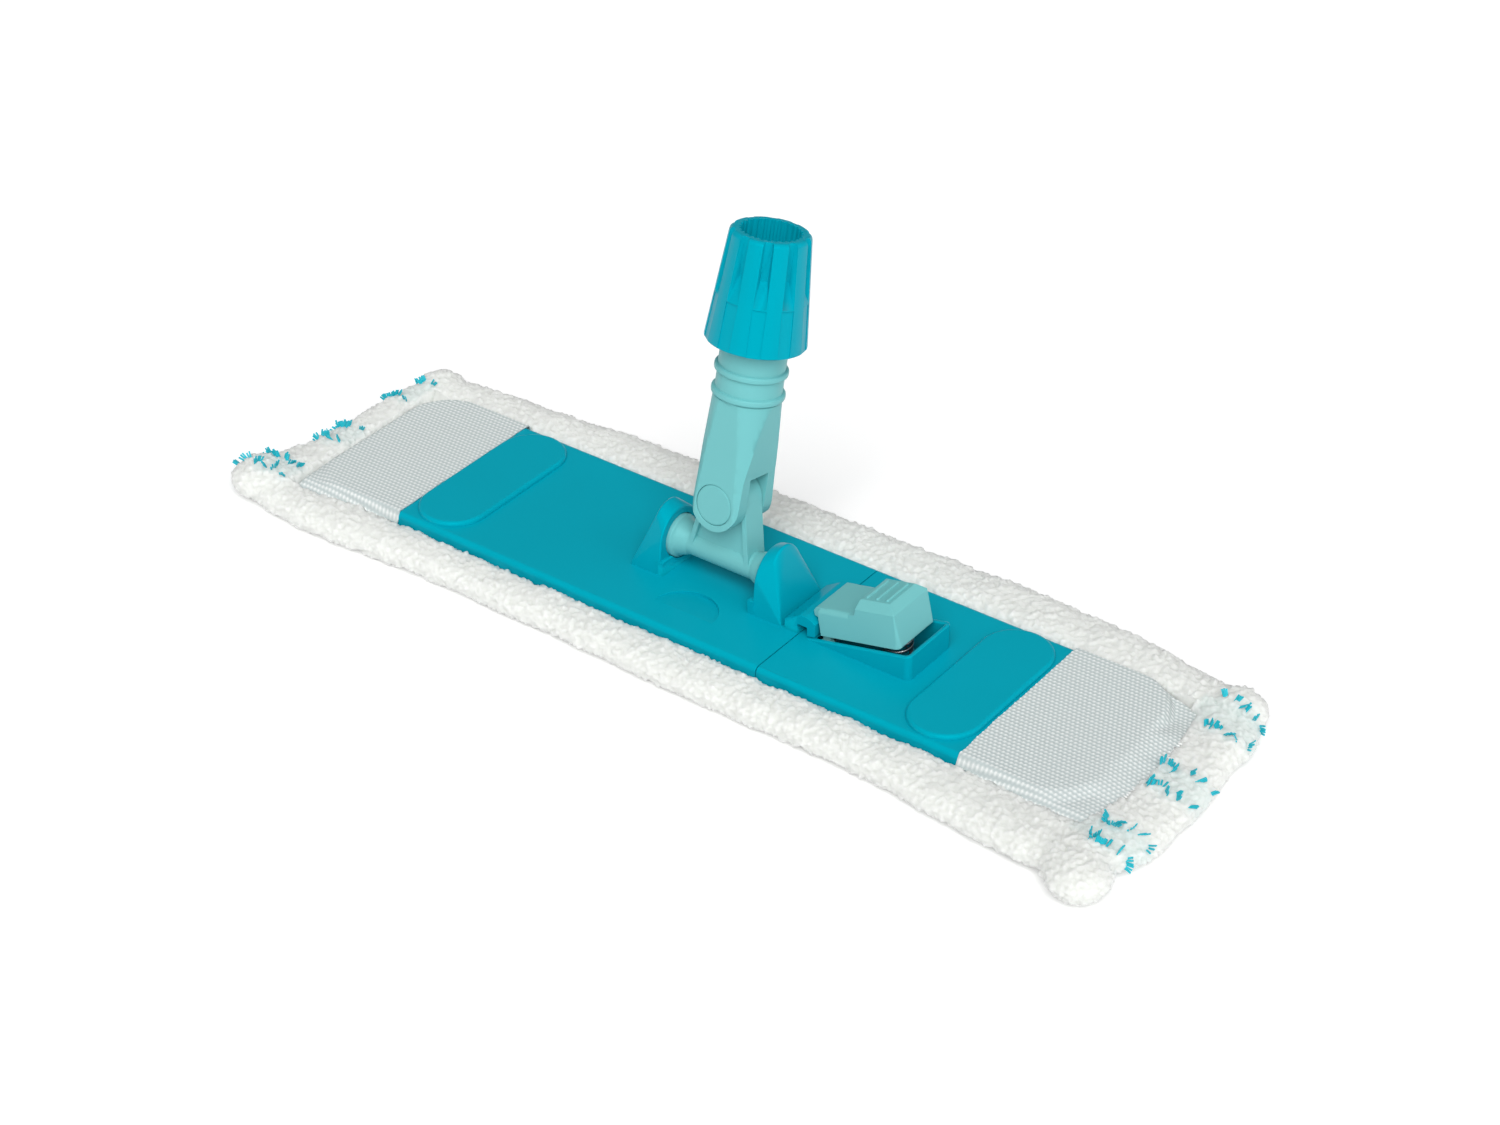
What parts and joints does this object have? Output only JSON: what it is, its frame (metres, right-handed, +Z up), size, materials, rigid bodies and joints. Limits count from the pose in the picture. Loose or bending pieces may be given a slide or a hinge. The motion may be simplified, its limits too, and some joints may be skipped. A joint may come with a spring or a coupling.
{
  "type": "flat mop",
  "caption": "Flat mop head: a hinged plate with a release pedal and catch, a universal joint with a clamping pole socket, and a slip-on pile pad with mesh end pockets.",
  "frame": {"origin": "on the floor, midway between the plate's ends and sides, under the universal joint", "axes": "+X along the plate to the pedal end, +Y to the rear where the socket leans, +Z up"},
  "size_m": [0.463, 0.148, 0.175],
  "materials": {
    "teal_plastic": "moulded, fine satin",
    "light_plastic": "moulded, satin",
    "steel": "drawn wire",
    "pile": "deep microfibre pile",
    "cloth": "woven backing",
    "mesh": "coarse knitted mesh",
    "bristle": "stiff strands"
  },
  "bodies": {
    "plate": {"main_plate": "teal_plastic", "hinge_pin": "steel", "pad_main": "pile", "backing_main": "cloth", "pocket_left": "mesh", "scrub_left": "bristle"},
    "fold": {"fold_plate": "teal_plastic", "pad_fold": "pile", "backing_fold": "cloth", "pocket_right": "mesh", "scrub_right": "bristle", "pedal_pin": "steel", "pedal_spring": "steel"},
    "pedal": {"release_pedal": "light_plastic"},
    "yoke": {"yoke": "light_plastic"},
    "socket": {"socket_sleeve": "light_plastic", "knuckle_pin": "light_plastic", "knuckle_cap": "light_plastic"},
    "collet": {"collet": "light_plastic"},
    "nut": {"clamp_nut": "teal_plastic"}
  },
  "joints": [
    {"name": "yoke_tilt", "type": "hinge", "parent": "plate", "child": "yoke", "pos_m": [0, 0, 0.02804], "axis": [-1, 0, 0], "range_deg": [-86.1, 63.9]},
    {"name": "socket_tilt", "type": "hinge", "parent": "yoke", "child": "socket", "pos_m": [0, 0.00512, 0.05414], "axis": [0, 0.9813, -0.1925], "range_deg": [-76.3, 73.7]},
    {"name": "plate_fold", "type": "hinge", "parent": "plate", "child": "fold", "pos_m": [0.0487, 0, 0.00924], "axis": [0, 1, 0], "range_deg": [0, 85], "deforming": ["pad_main", "pad_fold", "backing_main", "backing_fold"]},
    {"name": "pedal_press", "type": "hinge", "parent": "fold", "child": "pedal", "pos_m": [0.0615, 0, 0.01254], "axis": [0, 1, 0], "range_deg": [0, 13], "stiffness_Nm_per_rad": 1.3, "springref_deg": -8.59, "deforming": ["pedal_spring"]},
    {"name": "collet_lift", "type": "slide", "parent": "socket", "child": "collet", "axis": [0.0227, 0.1925, 0.981], "range_m": [0, 0.004]},
    {"name": "nut_turn", "type": "hinge", "parent": "collet", "child": "nut", "pos_m": [0.00163, 0.01892, 0.12448], "axis": [0.0227, 0.1925, 0.981], "range_deg": [0, 360]}
  ],
  "couplings": [
    {"joint": "collet_lift", "follows": "nut_turn", "m_per_rad": 0.00063662}
  ]
}
